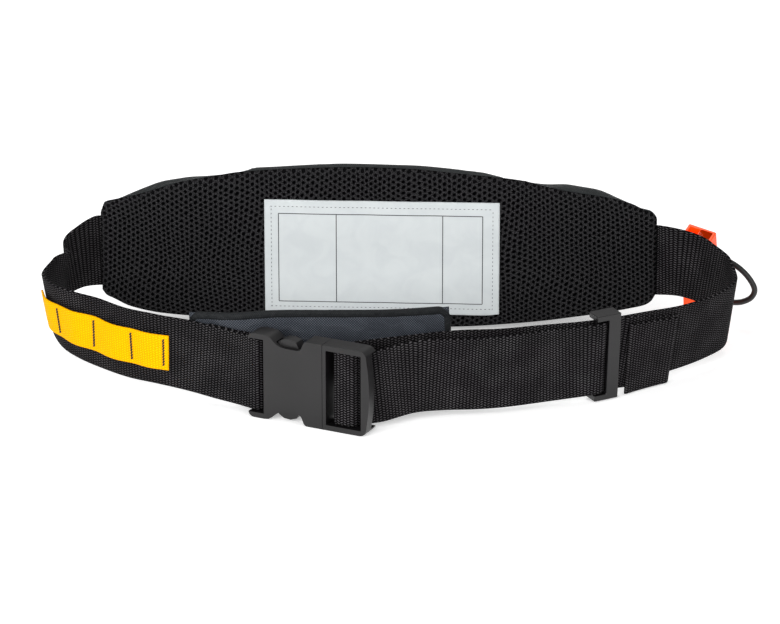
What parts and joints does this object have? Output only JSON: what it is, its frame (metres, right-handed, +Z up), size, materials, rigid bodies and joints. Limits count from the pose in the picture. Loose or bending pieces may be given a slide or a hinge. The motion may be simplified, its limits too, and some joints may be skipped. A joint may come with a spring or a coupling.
{
  "type": "inflatable belt pack",
  "caption": "Inflatable belt pack with padded mesh back panel, 50 mm webbing belt closed by a side-release buckle, slide, whistle and yellow tacked strip.",
  "frame": {"origin": "middle of the footprint on the floor, the rubber loop left out", "axes": "+X along the belt to the right as the wearer's side is seen, +Y away from the wearer through the pouch, +Z up"},
  "size_m": [0.4839, 0.2606, 0.118],
  "materials": {
    "cover_nylon": "coated woven nylon, slight sheen",
    "spacer_mesh": "knitted spacer mesh with round holes",
    "label": "smooth coated label cloth",
    "webbing": "ribbed woven webbing",
    "yellow_webbing": "ribbed woven webbing",
    "buckle_plastic": "moulded acetal, matt",
    "whistle_plastic": "moulded, satin",
    "rubber": "smooth rubber"
  },
  "bodies": {
    "root": {"pouch_cover": "cover_nylon", "mesh_back_panel": "spacer_mesh", "care_label": "label", "strap_left": "webbing", "strap_right": "webbing", "daisy_strip": "yellow_webbing", "buckle_socket": "buckle_plastic", "buckle_plug": "buckle_plastic", "webbing_slide": "buckle_plastic", "buckle_pad": "cover_nylon", "whistle": "whistle_plastic", "whistle_keeper": "webbing", "lanyard_loop": "rubber"}
  },
  "joints": []
}
